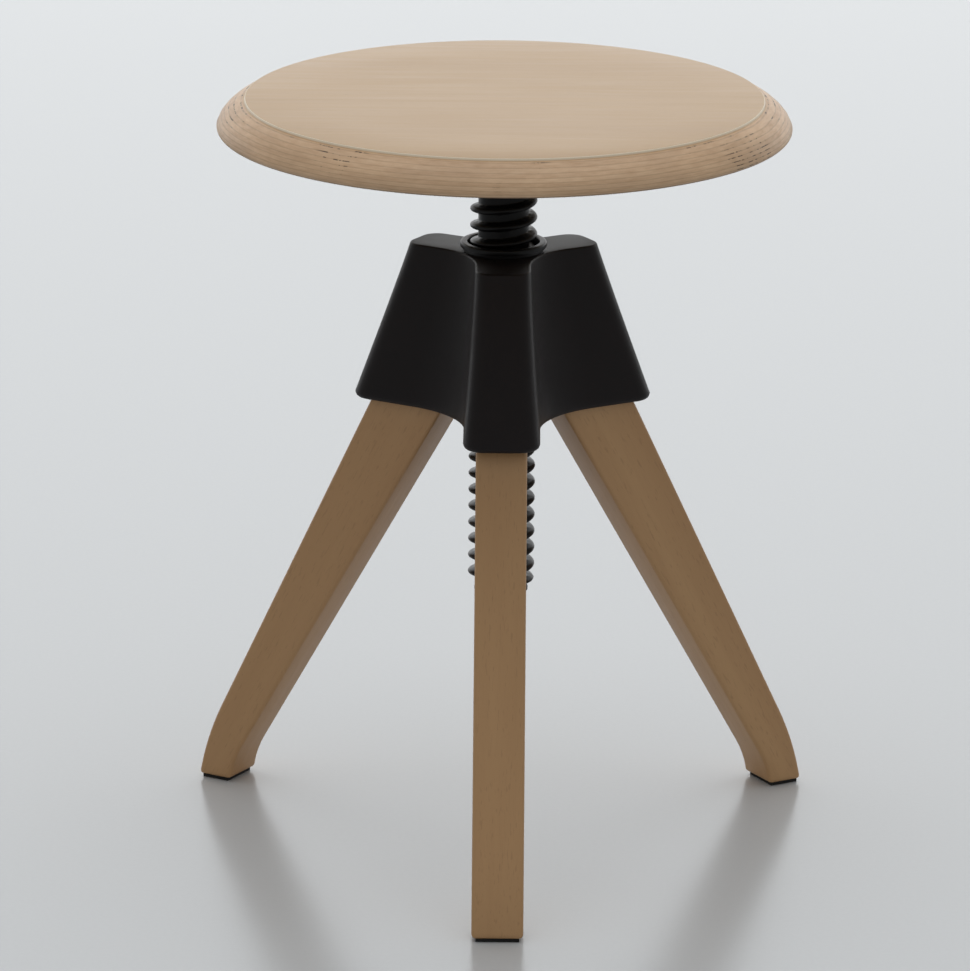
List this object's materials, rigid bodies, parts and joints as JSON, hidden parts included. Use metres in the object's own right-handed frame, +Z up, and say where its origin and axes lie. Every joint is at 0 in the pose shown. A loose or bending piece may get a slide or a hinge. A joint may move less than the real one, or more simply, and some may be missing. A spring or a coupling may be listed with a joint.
{
  "type": "adjustable swivel stool",
  "caption": "Low stool with a round plywood seat on a coarse screw spindle, in a moulded hub with splayed wooden legs.",
  "frame": {"origin": "on the floor, under the middle of the bounding box; the spindle's axis is 19.6 mm to +Y of it", "axes": "+Z up along the spindle, -Y towards the first leg, which faces the front"},
  "size_m": [0.3944, 0.3992, 0.4815],
  "materials": {
    "seat_plywood": "clear satin lacquer on beech plywood",
    "leg_beech": "clear satin lacquer on solid beech",
    "hub_nylon": "fine moulded texture",
    "collar_black": "satin",
    "spindle_black": "satin, oiled",
    "black_steel": "black powder coat",
    "zinc": "zinc plated",
    "brass": "plain",
    "pad_rubber": "matt"
  },
  "bodies": {
    "base": {"hub": "hub_nylon", "spindle_nut": "collar_black", "leg_1": "leg_beech", "foot_pad_1": "pad_rubber", "leg_screw_1_lower": "zinc", "leg_insert_1_lower": "brass", "leg_screw_1_upper": "zinc", "leg_insert_1_upper": "brass", "leg_2": "leg_beech", "foot_pad_2": "pad_rubber", "leg_screw_2_lower": "zinc", "leg_insert_2_lower": "brass", "leg_screw_2_upper": "zinc", "leg_insert_2_upper": "brass", "leg_3": "leg_beech", "foot_pad_3": "pad_rubber", "leg_screw_3_lower": "zinc", "leg_insert_3_lower": "brass", "leg_screw_3_upper": "zinc", "leg_insert_3_upper": "brass"},
    "lift": {"stop_washer": "black_steel"},
    "seat": {"seat_panel": "seat_plywood", "seat_flange": "black_steel", "spindle": "spindle_black", "end_bolt": "black_steel", "cross_pin": "zinc", "centre_bolt": "zinc", "seat_screw_1": "black_steel", "seat_screw_2": "black_steel", "seat_screw_3": "black_steel", "seat_screw_4": "black_steel", "seat_screw_5": "black_steel", "seat_screw_6": "black_steel"}
  },
  "joints": [
    {"name": "seat_lift", "type": "slide", "parent": "base", "child": "lift", "axis": [0, 0, 1], "range_m": [-0.0432, 0.1242]},
    {"name": "seat_turn", "type": "hinge", "parent": "lift", "child": "seat", "pos_m": [0, 0.01964, 0.4], "axis": [0, 0, 1], "range_deg": [-1441, 4141]}
  ],
  "couplings": [
    {"joint": "seat_turn", "follows": "seat_lift", "rad_per_m": 581.78}
  ]
}
